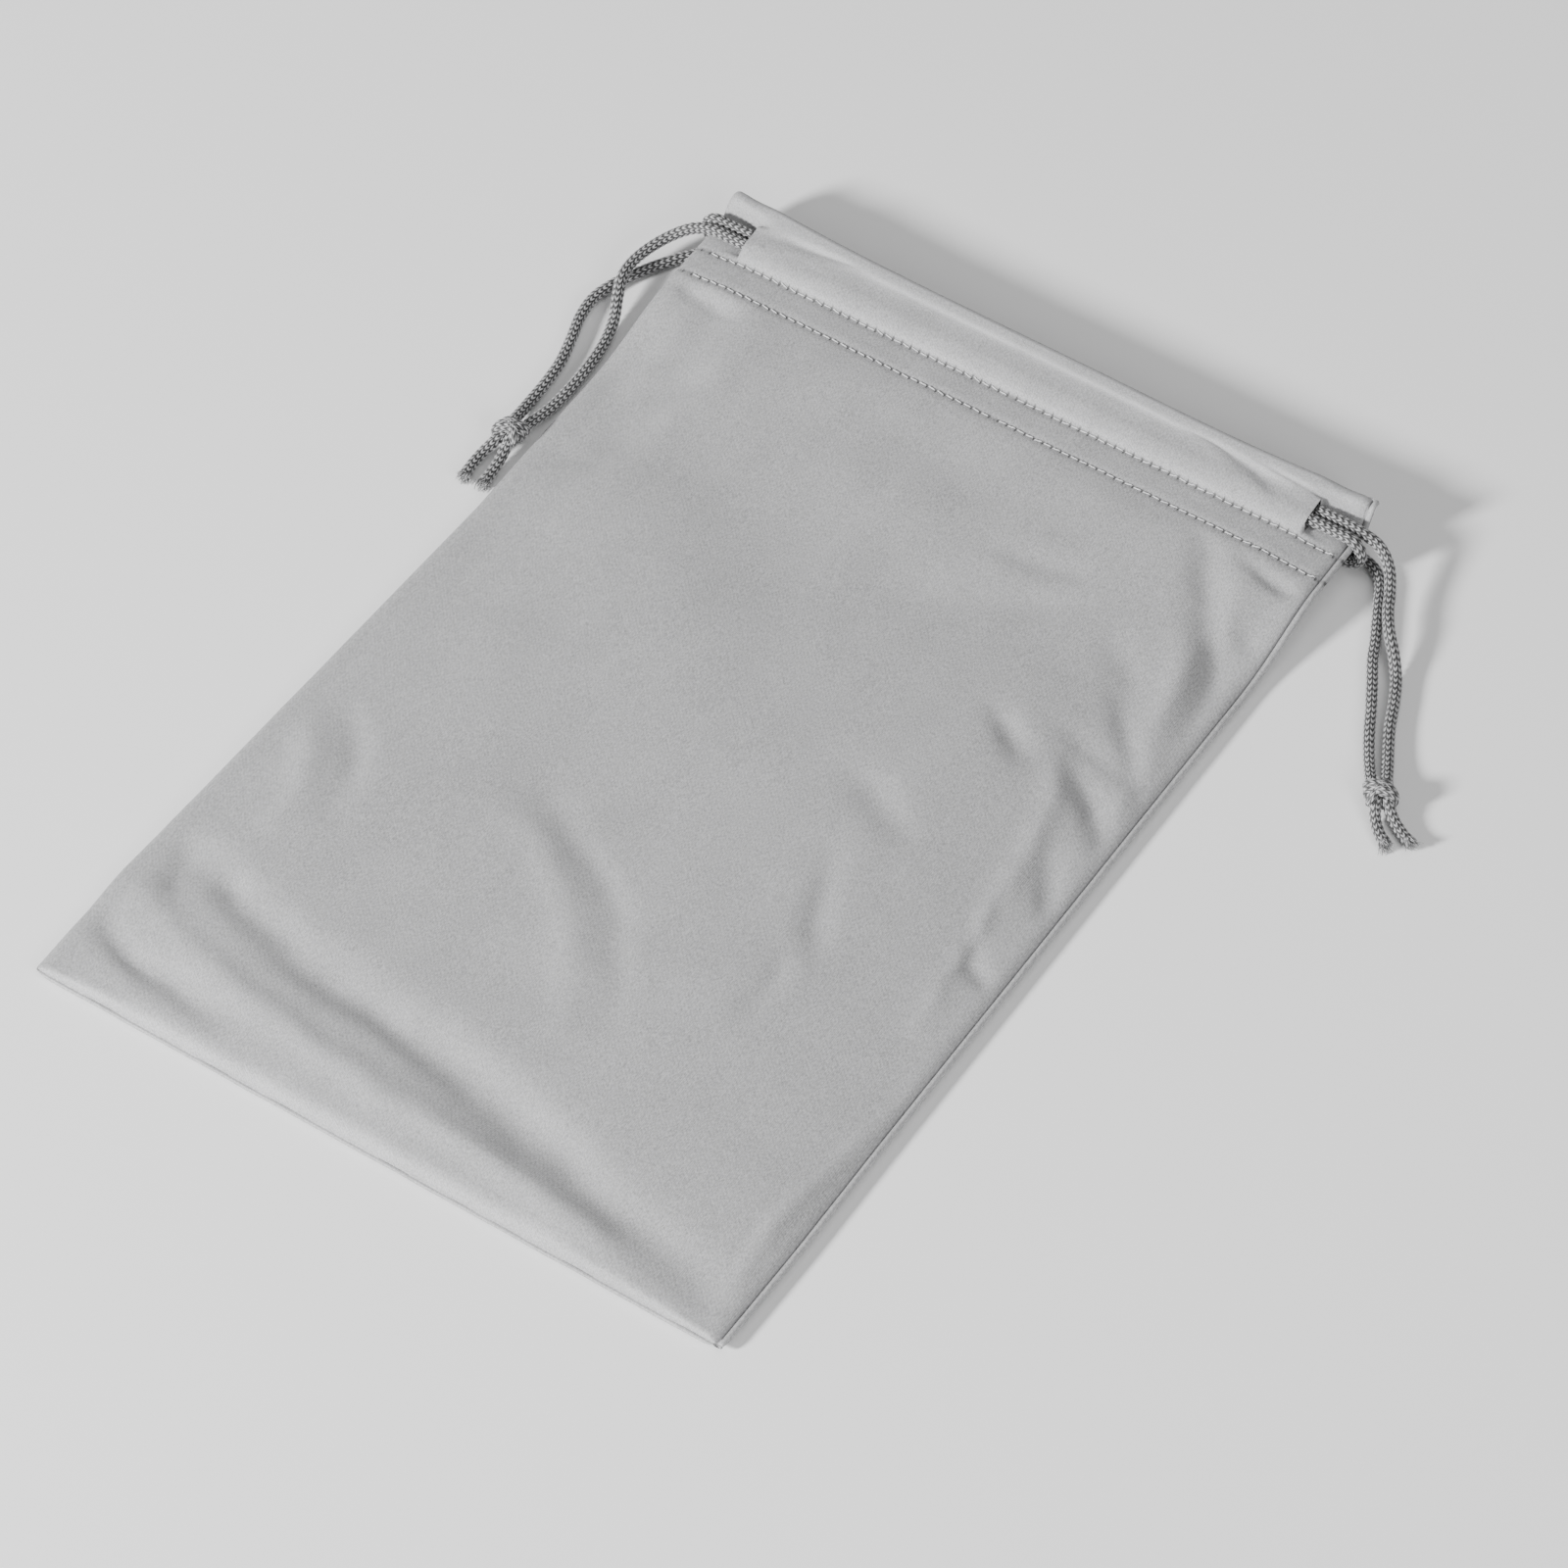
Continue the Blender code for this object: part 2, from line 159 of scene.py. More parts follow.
class Nodes:
    """A material's node tree with short ways to add nodes to it."""

    def __init__(self, name, **sockets):
        self.material = bpy.data.materials.new(name)
        self.material.use_nodes = True
        self.tree = self.material.node_tree
        self.shader = self.tree.nodes["Principled BSDF"]
        for key, value in sockets.items():
            self.shader.inputs[key.replace("_", " ")].default_value = value

    def add(self, kind, inputs=None, **settings):
        node = self.tree.nodes.new(kind)
        for key, value in settings.items():
            setattr(node, key, value)
        for key, value in (inputs or {}).items():
            if isinstance(value, bpy.types.NodeSocket):
                self.tree.links.new(value, node.inputs[key])
            else:
                node.inputs[key].default_value = value
        return node

    def scaled(self, source, scale):
        return self.add("ShaderNodeMapping", {"Vector": source, "Scale": scale}).outputs["Vector"]

    def noise(self, source, scale, detail=2.0, rough=0.5):
        return self.add("ShaderNodeTexNoise", {
            "Vector": source, "Scale": scale, "Detail": detail, "Roughness": rough,
        }).outputs["Fac"]

    def ramp(self, value, *stops):
        node = self.add("ShaderNodeValToRGB", {"Fac": value})
        elements = node.color_ramp.elements
        while len(elements) < len(stops):
            elements.new(0.5)
        for element, (place, colour) in zip(elements, stops):
            element.position = place
            element.color = (*colour, 1.0)
        return node.outputs["Color"]

    def math(self, operation, first, second):
        return self.add("ShaderNodeMath", {0: first, 1: second}, operation=operation).outputs[0]

    def bump(self, height, strength, distance, normal=None):
        inputs = {"Height": height, "Strength": strength, "Distance": distance}
        if normal is not None:
            inputs["Normal"] = normal
        return self.add("ShaderNodeBump", inputs).outputs["Normal"]

    def near(self, distance, reach, other=None):
        """1 at no distance, falling away over a reach, and times another value if there is one."""
        share = self.math("DIVIDE", distance, reach)
        square = self.math("MULTIPLY", share, share)
        fall = self.math("EXPONENT", self.math("MULTIPLY", square, -1.0), 0.0)
        return fall if other is None else self.math("MULTIPLY", fall, other)

    def join(self, value, socket):
        self.tree.links.new(value, self.shader.inputs[socket])


def grey(value):
    """A grey with a trace of blue in it."""
    return (value, value, value * COOL)


def make_cloth():
    """Fine weft knit: upright rows of tiny loops, a soft satin face, and its needle holes, with painted
    shade darkening the holes and a painted shadow line along each stitch row.
    """
    nodes = Nodes("microfibre_knit", Roughness=0.54, Sheen_Weight=0.10, Sheen_Roughness=0.4,
                  Specular_IOR_Level=0.50)
    flat = nodes.add("ShaderNodeAttribute", attribute_name="flat").outputs["Vector"]
    mottle = nodes.noise(nodes.scaled(flat, (1.0, 0.6, 1.0)), 60.0, 3.0, 0.55)
    grain = nodes.noise(nodes.scaled(flat, (1.0, 0.45, 1.0)), 2300.0, 2.0, 0.6)
    both = nodes.math("ADD", nodes.math("MULTIPLY", mottle, 0.15), nodes.math("MULTIPLY", grain, 0.85))
    place = nodes.add("ShaderNodeSeparateXYZ", {"Vector": flat})
    half_pitch = STITCH_PITCH / 2
    along = nodes.math("PINGPONG", nodes.math("ADD", place.outputs["X"], half_pitch), half_pitch)
    from_rows = (nodes.math("SUBTRACT", place.outputs["Y"], row) for row in (UPPER_ROW, LOWER_ROW))
    across = nodes.math("MINIMUM", *(nodes.math("ABSOLUTE", away, 0.0) for away in from_rows))
    # Painted shade: the needle holes and a painted shadow line along each stitch row darken the base
    # colour below; the holes also dent the bump
    hole = nodes.near(along, HOLE_ALONG, nodes.near(across, HOLE_ACROSS))
    line = nodes.near(across, ROW_SHADOW_ACROSS)
    # The mottle and grain, less the painted shade of the needle holes and the painted shadow line along
    # the rows
    mottle_and_painted_shade = nodes.math("SUBTRACT", nodes.math("SUBTRACT", both, nodes.math("MULTIPLY", hole, 0.80)),
                      nodes.math("MULTIPLY", line, 0.26))
    tones = nodes.ramp(mottle_and_painted_shade, (0.0, grey(0.10)), (0.36, grey(0.285)), (0.64, grey(0.445)))
    nodes.join(tones, "Base Color")
    ribs = nodes.add("ShaderNodeTexWave", {"Vector": flat, "Scale": 620.0, "Distortion": 1.2,
                                           "Detail": 1.0, "Detail Scale": 1.5},
                     bands_direction="X").outputs["Fac"]
    slant = nodes.add("ShaderNodeTexWave", {"Vector": flat, "Scale": 430.0, "Distortion": 0.8},
                      bands_direction="DIAGONAL").outputs["Fac"]
    fuzz = nodes.noise(flat, 2600.0, 2.0, 0.6)
    weave = nodes.math("ADD", nodes.math("MULTIPLY", ribs, 0.5), nodes.math("MULTIPLY", slant, 0.25))
    normal = nodes.bump(nodes.math("ADD", weave, nodes.math("MULTIPLY", fuzz, 0.6)), 0.45, 0.00012)
    normal = nodes.bump(nodes.math("SUBTRACT", 1.0, hole), 0.6, 0.0004, normal)
    nodes.join(nodes.bump(mottle, 0.25, 0.0006, normal), "Normal")
    return nodes.material


def make_thread():
    """Polyester sewing thread: two plies twisted together."""
    nodes = Nodes("sewing_thread", Roughness=0.5, Sheen_Weight=0.2)
    place = nodes.add("ShaderNodeTexCoord").outputs["Object"]
    tone = nodes.noise(place, 900.0, 2.0, 0.5)
    nodes.join(nodes.ramp(tone, (0.3, grey(0.54)), (0.7, grey(0.72))), "Base Color")
    twist = nodes.add("ShaderNodeTexWave", {"Vector": place, "Scale": 1400.0, "Distortion": 0.5},
                      bands_direction="DIAGONAL").outputs["Fac"]
    nodes.join(nodes.bump(twist, 0.5, 0.00006), "Normal")
    return nodes.material


def make_cord():
    """Knitted polyester cord: its base colour follows the knit relief, light on the loops and painted
    shade in the deep gaps between them.
    """
    nodes = Nodes("knitted_cord", Roughness=0.62, Sheen_Weight=0.25, Sheen_Roughness=0.4)
    relief = nodes.add("ShaderNodeAttribute", attribute_name="relief").outputs["Fac"]
    place = nodes.add("ShaderNodeTexCoord").outputs["Object"]
    fibres = nodes.noise(place, 2400.0, 2.0, 0.6)
    mottle_and_painted_shade = nodes.noise(place, 160.0, 2.0, 0.5)
    tone = nodes.math("ADD", relief, nodes.math("MULTIPLY", nodes.math("SUBTRACT", fibres, 0.5), 0.5))
    tone = nodes.math("ADD", tone, nodes.math("MULTIPLY", nodes.math("SUBTRACT", mottle_and_painted_shade, 0.5), 0.25))
    # The base colour darkens with the knit relief: painted shade, deepest in the gaps between the loops
    tones = nodes.ramp(tone, (0.12, grey(0.030)), (0.45, grey(0.19)), (0.85, grey(0.62)))
    nodes.join(tones, "Base Color")
    nodes.join(nodes.bump(fibres, 0.5, 0.00012), "Normal")
    return nodes.material


CLOTH_LOOK, THREAD_LOOK, CORD_LOOK = make_cloth(), make_thread(), make_cord()


# ---------------------------------------------------------------- cords
CURVE_STEPS = 24


def smooth_route(route, spacing):
    """Points a spacing apart on the smooth curve through a route."""
    knots = [Vector(p) for p in route]
    knots = [2 * knots[0] - knots[1]] + knots + [2 * knots[-1] - knots[-2]]
    fine = []
    for before, start, end, after in zip(knots, knots[1:], knots[2:], knots[3:]):
        for index in range(CURVE_STEPS):
            t = index / CURVE_STEPS
            fine.append(0.5 * (2 * start + (end - before) * t
                               + (2 * before - 5 * start + 4 * end - after) * t * t
                               + (3 * start - before - 3 * end + after) * t ** 3))
    fine.append(knots[-2])
    fine = np.array(fine, float)
    along = length_along(fine)
    count = max(8, int(round(along[-1] / spacing)))
    places = np.linspace(0, along[-1], count + 1)
    return np.stack([np.interp(places, along, fine[:, k]) for k in range(3)], 1)


def frames_along(line):
    """Tangent and two cross directions at each point, carried along without twist."""
    ahead = np.gradient(line, axis=0)
    ahead /= np.linalg.norm(ahead, axis=1)[:, None]
    start = np.array([0.0, 0.0, 1.0])
    if abs(ahead[0] @ start) > 0.9:
        start = np.array([1.0, 0.0, 0.0])
    across = np.empty_like(line)
    for index, direction in enumerate(ahead):
        start = start - direction * (start @ direction)
        start /= np.linalg.norm(start)
        across[index] = start
    return ahead, across, np.cross(ahead, across)


def circle(turns, across, up):
    """Directions round each point of a line, in the plane of its two cross directions."""
    return (np.cos(turns)[None, :, None] * across[:, None, :]
            + np.sin(turns)[None, :, None] * up[:, None, :])


def length_along(line):
    return np.concatenate([[0.0], np.cumsum(np.linalg.norm(np.diff(line, axis=0), axis=1))])


KNIT_COLUMNS = 7
KNIT_PITCH = 0.0022
KNIT_DEPTH = 0.00042
MIDDLE_RELIEF = 0.62
FINE, COARSE = 0.00025, 0.0006  # ring spacing where a cord is seen, and where it is hidden
CORD_SIDES = 42
CORD_CORE = CORD / 2 * 0.89
TAIL_CORE = CORD / 2 * 0.88


def knit_relief(around, along, seed):
    """Height from 0 to 1 of a knitted tube's loops: a V in each column, with gaps between."""
    place = around * KNIT_COLUMNS / (2 * math.pi)
    column = np.floor(place)
    side = place - column - 0.5
    jitter = 0.08 * np.sin(column * 2.1 + seed) + 0.12 * np.sin(along / 0.0073 + column * 1.7 + seed)
    rise = along / KNIT_PITCH + jitter + 0.5 * (column % 2)
    strand = 1 - np.abs(np.sin(math.pi * (rise + 1.5 * np.abs(side)))) ** 2.2
    edge = np.clip(np.cos(math.pi * side), 0, 1) ** 0.35
    heart = 1 - (0.35 + 0.45 * np.sin(math.pi * (rise + 0.2)) ** 2) * np.exp(-(side / 0.11) ** 2)
    return strand * edge * heart


def knit_tube(name, line, radius, look, sides=40, seed=0.0, depth=KNIT_DEPTH, taper=None):
    """A knitted cord along a line of ring centres."""
    _, across, up = frames_along(line)
    along = length_along(line)
    turns = np.linspace(0, 2 * math.pi, sides, endpoint=False)
    around, distance = np.meshgrid(turns, along)
    relief = knit_relief(around, distance, seed)
    radii = radius * (taper if taper is not None else np.ones(len(line)))[:, None]
    reach = radii + depth * (relief - MIDDLE_RELIEF)
    ring = circle(turns, across, up)
    points = (line[:, None, :] + reach[:, :, None] * ring).reshape(-1, 3)
    rows = len(line)
    first = (np.arange(rows - 1)[:, None] * sides + np.arange(sides)[None, :])
    beside = (np.arange(rows - 1)[:, None] * sides + (np.arange(sides)[None, :] + 1) % sides)
    faces = np.stack([first, beside, beside + sides, first + sides], -1).reshape(-1, 4).tolist()
    faces.append(list(range(sides))[::-1])
    faces.append(list(range((rows - 1) * sides, rows * sides)))
    made = mesh_piece(name, points, faces, look)
    # The relief also sets the cord material's base colour, where the low gaps get painted shade
    store(made, "relief", relief.ravel())
    return made


LEG_ROUTES = {
    "left_front_leg": [
        (-104.3, 164.3, 14.0), (-111, 164.3, 14.0), (-118, 164.3, 13.6), (-125, 163, 11.2),
        (-130.5, 158.5, 8.4), (-134, 151, 7.0), (-135, 143, 6.8), (-134, 136.5, 6.6),
        (-131, 129.5, 5.0), (-127.5, 122, 2.8), (-125, 113, 2.1), (-123.6, 103, 2.1),
        (-123, 93, 2.1), (-123.2, 83, 2.1), (-124, 76, 2.6), (-124.7, 68.9, 3.8),
    ],
    "left_back_leg": [
        (-104.3, 164.3, 3.0), (-112, 164.3, 3.0), (-119, 163, 2.8), (-125, 158, 2.2),
        (-130, 150.5, 2.1), (-134, 143, 2.1), (-137.5, 135, 2.1), (-139, 127, 2.1),
        (-137.8, 118.5, 2.1), (-134.8, 109, 2.1), (-132, 99, 2.1), (-130.8, 89, 2.1),
        (-130.4, 80, 2.1), (-129.9, 74.5, 2.7), (-129.3, 68.9, 3.8),
    ],
    "right_front_leg": [
        (104.3, 168.8, 14.0), (112, 168.8, 14.0), (119.5, 168.8, 13.6), (127, 168.2, 12),
        (133, 164.3, 9.4), (137.5, 157.5, 7.6), (141, 150.5, 7.0), (145.5, 143.8, 6.4),
        (150.5, 138.2, 4.4), (155, 132, 2.5), (159, 124, 2.1), (162.8, 115, 2.1),
        (167, 107, 2.1), (170.8, 100, 2.6), (173.7, 94.5, 3.8),
    ],
    "right_back_leg": [
        (104.3, 168.8, 3.0), (112, 168.8, 3.0), (120, 168.6, 2.8), (127, 166.8, 2.3),
        (131.8, 162, 2.1), (135.3, 155, 2.1), (138.8, 148, 2.1), (142, 141.5, 2.1),
        (145.2, 134.5, 2.1), (150, 126, 2.1), (154.6, 117.5, 2.1), (159, 109, 2.1),
        (163.2, 101.8, 2.1), (166.8, 96.2, 2.7), (169.9, 91.7, 3.8),
    ],
}
TAIL_ROUTES = {
    "left_outer_tail": [(-129.2, 59.1, 3.8), (-130.2, 54, 2.6), (-130.4, 48.5, 2.1), (-129.6, 43, 2.1)],
    "left_inner_tail": [(-124.8, 59.1, 3.8), (-123.9, 54, 2.6), (-123.4, 49, 2.1), (-122.9, 43.5, 2.1)],
    "right_outer_tail": [(179.4, 86.4, 3.8), (182, 84.4, 2.7), (186, 82, 2.1), (190.2, 79.8, 2.1)],
    "right_inner_tail": [(175.8, 83.8, 3.8), (177.6, 81.2, 2.7), (180.8, 78, 2.1), (184.6, 75.2, 2.1)],
}
KNOT_CENTRE = {"left": (-0.1270, 0.0640, 0.0046), "right": (0.1747, 0.0891, 0.0046)}
KNOT_TURN = {"left": 0.0, "right": math.radians(36)}
LOOP_X, RUN_X = 0.1176, 0.1040
SHOWN_X, DRAWN_X = -0.098, 0.020  # the run shows past the first, and is drawn out from past the second


def knot_strands():
    """The strands of an overhand knot in a doubled cord: two that run through and two wraps."""
    turns = np.linspace(-0.35 * math.pi, 3.65 * math.pi, 90)
    share = (turns - turns[0]) / (turns[-1] - turns[0])
    tuck = 1 - 0.35 * (1 - step(share, 0, 0.10)) - 0.35 * step(share, 0.90, 1)
    wrap = np.stack([3.75 * np.cos(turns) * tuck,
                     1.95 - 3.9 * share + 1.5 * np.cos(turns) * np.where(share < 0.5, 1, 0.6),
                     2.75 * np.sin(turns) * tuck + 0.2], 1)
    through = [[(side * 2.3, 5.3, -0.8), (side * 1.8, 2.5, -0.3), (side * 1.0, 0, 0.0),
                (side * 1.7, -2.6, -0.3), (side * 2.25, -5.2, -0.8)] for side in (-1, 1)]
    cross = [(-3.4, -1.2, -1.6), (-3.3, 0.6, 0.9), (-1.4, 1.6, 3.0), (1.2, -0.2, 3.15),
             (3.2, -2.4, 1.6), (3.6, -2.9, -0.8)]
    return [(wrap, 1.72), (cross, 1.45), (through[0], 1.80), (through[1], 1.80)]


def make_knot(side):
    """The lump of an overhand knot, pulled tight, that ties a cord's two ends together."""
    turn, flip = KNOT_TURN[side], -1.0 if side == "right" else 1.0
    strands = []
    for index, (route, radius) in enumerate(knot_strands()):
        line = smooth_route(millimetres(route), 0.00022)
        line[:, 0] *= flip
        line = np.column_stack([line[:, 0] * math.cos(turn) - line[:, 1] * math.sin(turn),
                                line[:, 0] * math.sin(turn) + line[:, 1] * math.cos(turn), line[:, 2]])
        line += KNOT_CENTRE[side]
        strands.append(knit_tube(f"{side}_knot_{index}", line, radius / 1000, CORD_LOOK, 32,
                                 1.3 + index, 0.00038))
    knot = strands[0]
    knot.name = knot.data.name = f"{side}_knot_lump"
    with bpy.context.temp_override(active_object=knot, selected_editable_objects=strands):
        bpy.ops.object.join()
    for vertex in knot.data.vertices:
        vertex.co.z = max(vertex.co.z, LIFTED)
    return knot


YARNS, YARN_SIDES = 70, 5


def make_fringe(name, line, seed):
    """The frayed end of a tail: loose yarns of a few filaments each."""
    rng = np.random.default_rng(seed)
    ahead, across, up = (frame_axis[-1] for frame_axis in frames_along(line))
    points, faces = [], []
    for _ in range(YARNS):
        angle = rng.uniform(0, 2 * math.pi)
        out = 0.0019 * math.sqrt(rng.uniform(0.05, 1))
        long = rng.uniform(0.0006, 0.0024)
        lean = rng.normal(0.0, 0.38, 2)
        side = math.cos(angle) * across + math.sin(angle) * up
        start = line[-1] + side * out * 0.9 - ahead * 0.0012
        end = start + ahead * (long + 0.0012) + (side * 0.35 + lean[0] * across + lean[1] * up) * long
        end[2] = max(end[2], 0.0002)
        bend = (start + end) / 2 + (lean[1] * across - lean[0] * up) * long * 0.4
        bend[2] = max(bend[2], 0.0002)
        thick = rng.uniform(0.00012, 0.00021)
        base = len(points)
        for place, width in ((start, thick), (bend, thick), (end, thick * 0.45)):
            for corner in range(YARN_SIDES):
                a = 2 * math.pi * corner / YARN_SIDES
                points.append(place + width * (math.cos(a) * across + math.sin(a) * up))
        for ring in range(2):
            for corner in range(YARN_SIDES):
                a = base + ring * YARN_SIDES + corner
                b = base + ring * YARN_SIDES + (corner + 1) % YARN_SIDES
                faces.append((a, b, b + YARN_SIDES, a + YARN_SIDES))
        faces.append(tuple(range(base + YARN_SIDES - 1, base - 1, -1)))
        faces.append(tuple(range(base + 2 * YARN_SIDES, base + 3 * YARN_SIDES)))
    made = mesh_piece(name, points, faces, CORD_LOOK)
    store(made, "relief", np.repeat(rng.uniform(0.25, 0.80, YARNS), 3 * YARN_SIDES))
    return made


def make_drawcord(side, seed):
    """One drawcord: its run and far loop, two legs, knot, tails and frayed ends."""
    body, sign = f"{side}_drawcord", -1 if side == "left" else 1
    pieces = []
    knot = make_knot(side)
    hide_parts(f"{side}_knot")
    on_knot = {"outer": [], "inner": []}
    for index, which in enumerate(("outer", "inner")):
        node = f"{side}_{which}_tail"
        line = smooth_route(millimetres(TAIL_ROUTES[node]), 0.00024)
        share = np.linspace(0, 1, len(line))
        flare = 1.0 - 0.04 * np.sin(math.pi * share) + 0.10 * step(share, 0.72, 1.0)
        tail = knit_tube(f"{node}_end", line, TAIL_CORE, CORD_LOOK, CORD_SIDES, seed + index,
                         0.00044, flare)
        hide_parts(node)
        fringe = make_fringe(f"{node}_fringe", line, 11 + index + (sign > 0) * 5)
        on_knot[which] += [tail, fringe]
    for index, which in enumerate(("front", "back")):
        node = f"{side}_{which}_leg"
        line = smooth_route(millimetres(LEG_ROUTES[node]), FINE)
        leg = knit_tube(f"{node}_cord", line, CORD_CORE, CORD_LOOK, CORD_SIDES, seed + 2.3 * index)
        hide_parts(node)
        pieces.append(leg)
    y = CORD_Y[side]
    middle, rise = (FRONT_CORD_Z + BACK_CORD_Z) / 2, (FRONT_CORD_Z - BACK_CORD_Z) / 2
    drawn_out, hidden = np.arange(RUN_X, DRAWN_X, -FINE), np.arange(DRAWN_X, SHOWN_X, -COARSE)
    shown = np.arange(SHOWN_X, -LOOP_X, -FINE)
    turns = np.linspace(0, math.pi, 70)
    loop_x, loop_z = -LOOP_X - rise * np.sin(turns), middle + rise * np.cos(turns)
    straight = np.concatenate([drawn_out, hidden, shown])
    xs = np.concatenate([straight, loop_x, straight[::-1]]) * sign
    front_run, back_run = (np.full(len(straight), z) for z in (FRONT_CORD_Z, BACK_CORD_Z))
    zs = np.concatenate([front_run, loop_z, back_run])
    run = knit_tube(f"{side}_cord_channel_run", np.stack([xs, np.full(len(xs), y), zs], 1),
                    CORD_CORE, CORD_LOOK, CORD_SIDES, seed + 5.1)
    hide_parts(f"{side}_cord_run")
    for piece in [run, knot, *pieces, *on_knot["outer"], *on_knot["inner"]]:
        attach(piece, body)


make_drawcord("left", 0.4)
make_drawcord("right", 3.3)


# ---------------------------------------------------------------- the cloth's shape
def raised(y):
    return step(y, RAISE_START, RAISE_END)


def edge_top(y):
    return mixed(EDGE_TOP, RAISED_TOP, raised(y)) + 0.0068 * step(y, 0.1735, 0.1830)


def edge_bottom(y):
    return mixed(0.0, RAISED_BOTTOM, raised(y))


def slot_share(x, y):
    """How far a place is from over the channel (0) to beside it (1), and how near it is to a slot."""
    soft = step(np.abs(x), 0.099, 0.1125)
    sharp = (np.abs(x) > SLOT_X).astype(float)
    near = step(y, SLOT_LOW - 0.0030, SLOT_LOW + 0.0008)
    near = near * (1 - step(y, SLOT_HIGH - 0.0008, SLOT_HIGH + 0.0034))
    return mixed(soft, sharp, near), near


# Folds lying on the front: depth (a ridge where it is negative), half width and route, all in
# millimetres
FOLDS = [
    (3.3, 7.3, [(-108, -126), (-94, -130), (-79, -136), (-60, -141), (-38, -144), (-18, -146),
                (4, -150), (34, -156), (64, -163), (88, -168), (104, -171)]),
    (-1.6, 5.0, [(-112, -146), (-100, -151), (-84, -157), (-62, -163), (-30, -167), (20, -170),
                 (70, -175)]),
    (2.2, 4.6, [(-117, -156), (-110, -161), (-99, -167), (-82, -170), (-62, -173)]),
    (1.7, 4.6, [(-106, -126), (-104, -136), (-99, -143)]),
    (0.9, 4.0, [(-92, -128), (-84, -135)]),
    (1.3, 4.6, [(-99, -58), (-89, -68), (-83, -82), (-81, -95)]),
    (-1.5, 5.0, [(-108, -66), (-99, -78), (-94, -90), (-93, -104)]),
    (0.8, 4.8, [(-32, -50), (-17, -59), (4, -71), (16, -84), (25, -97), (31, -110)]),
    (-1.1, 5.6, [(-40, -62), (-23, -69), (-4, -82), (8, -94), (17, -106), (22, -120)]),
    (1.5, 4.6, [(53, -26), (60, -41), (66, -57)]),
    (1.1, 4.0, [(61, -62), (63, -76), (62, -90)]),
    (1.2, 5.0, [(40, 5), (52, 1), (65, -5)]),
    (-1.1, 3.4, [(97, 2), (101, -20), (104, -42), (106, -62)]),
    (-1.5, 3.0, [(117, -92), (114, -112), (111, -128), (110, -142), (111, -154), (114, -168)]),
    (0.9, 3.4, [(90, 76), (98, 67), (109, 54), (117, 44)]),
    (1.4, 3.6, [(-121, 147), (-110, 142), (-100, 141)]),
    (-1.0, 3.6, [(111, 62), (112, 40), (110, 22)]),
    (2.4, 5.4, [(79, 148), (86, 135), (95, 119), (105, 106), (111, 93), (118, 78)]),
    (-1.3, 5.0, [(97, 108), (103, 84), (108, 62)]),
    (1.7, 4.0, [(64, 50), (72, 44), (80, 40)]),
    (2.3, 5.0, [(95, 47), (104, 39), (112, 31), (120, 23)]),
    (1.0, 5.0, [(76, 93), (88, 86), (99, 66)]),
    (-1.5, 3.8, [(89, 43), (94, 31), (98, 12), (102, -6)]),
    (1.6, 3.8, [(106, 12), (112, 3), (119, -6)]),
    (1.2, 3.0, [(106, -33), (118, -38)]),
    (0.9, 4.0, [(82, 56), (95, 55), (109, 49)]),
    (1.0, 3.4, [(99, -22), (107, -31), (103, -42)]),
    (3.2, 9.5, [(-101, 156), (-100, 142), (-98, 126), (-97, 108), (-99, 90), (-102, 70)]),
    (-1.0, 6.0, [(-82, 138), (-83, 120), (-84, 102), (-87, 80), (-91, 60), (-94, 42)]),
    (1.5, 3.4, [(95, 142), (105, 139), (119, 138)]),
    (0.7, 3.8, [(106, 122), (113, 116), (121, 114)]),
    (0.9, 5.0, [(28, 104), (44, 106), (58, 111)]),
    (0.8, 6.0, [(40, 84), (54, 92), (66, 104)]),
    (0.9, 14.0, [(-60, 118), (-10, 124), (60, 121)]),
    (-1.2, 24.0, [(-80, 60), (-30, 20), (10, -30)]),
    (1.1, 14.0, [(-101, 72), (-99, 20), (-97, -40)]),
    (0.9, 12.0, [(8, 66), (28, 78), (38, 92)]),
]


def ripple(x, y, scale, seed, stretch=1.0):
    """Smooth uneven height between -1 and 1."""
    flat_x, flat_y = x.ravel() / scale, y.ravel() / (scale * stretch)
    values = [noise.noise(Vector((a, b, seed))) for a, b in zip(flat_x, flat_y)]
    return np.array(values).reshape(x.shape)


def fold_height(x, y, folds):
    """Sum of some folds, with their routes bent a little by noise."""
    total = np.zeros_like(x)
    x, y = x + 0.0022 * ripple(x, y, 0.017, 61.0), y + 0.0022 * ripple(x, y, 0.017, 83.0)
    for depth, width, route in folds:
        route = millimetres(route)
        lengths = np.linalg.norm(np.diff(route, axis=0), axis=1)
        whole, before = lengths.sum(), np.concatenate([[0.0], np.cumsum(lengths)])
        nearest, share = np.full(x.shape, 1e9), np.zeros(x.shape)
        for start, end, length, past in zip(route, route[1:], lengths, before):
            along_x, along_y = end - start
            t = np.clip(((x - start[0]) * along_x + (y - start[1]) * along_y) / length ** 2, 0, 1)
            away = np.hypot(x - mixed(start[0], end[0], t), y - mixed(start[1], end[1], t))
            closer = away < nearest
            nearest = np.where(closer, away, nearest)
            share = np.where(closer, (past + t * length) / whole, share)
        fade = np.sin(math.pi * np.clip(0.08 + 0.84 * share, 0, 1)) ** 0.7
        total -= depth / 1000 * fade * np.exp(-(nearest / (width / 1000)) ** 2)
    return total


# Small puckers on the hem beside the openings
PUCKERS = [
    (0.8, 3.2, [(58, 179), (76, 172), (99, 166)]),
    (0.7, 2.6, [(82, 170), (92, 163), (102, 160)]),
    (0.6, 2.6, [(80, 181), (92, 176), (104, 172)]),
    (0.7, 3.0, [(-103, 168), (-88, 172), (-66, 180)]),
    (0.5, 2.6, [(-100, 160), (-88, 163), (-76, 164)]),
    (-0.5, 4.0, [(60, 172), (78, 167), (94, 161)]),
]


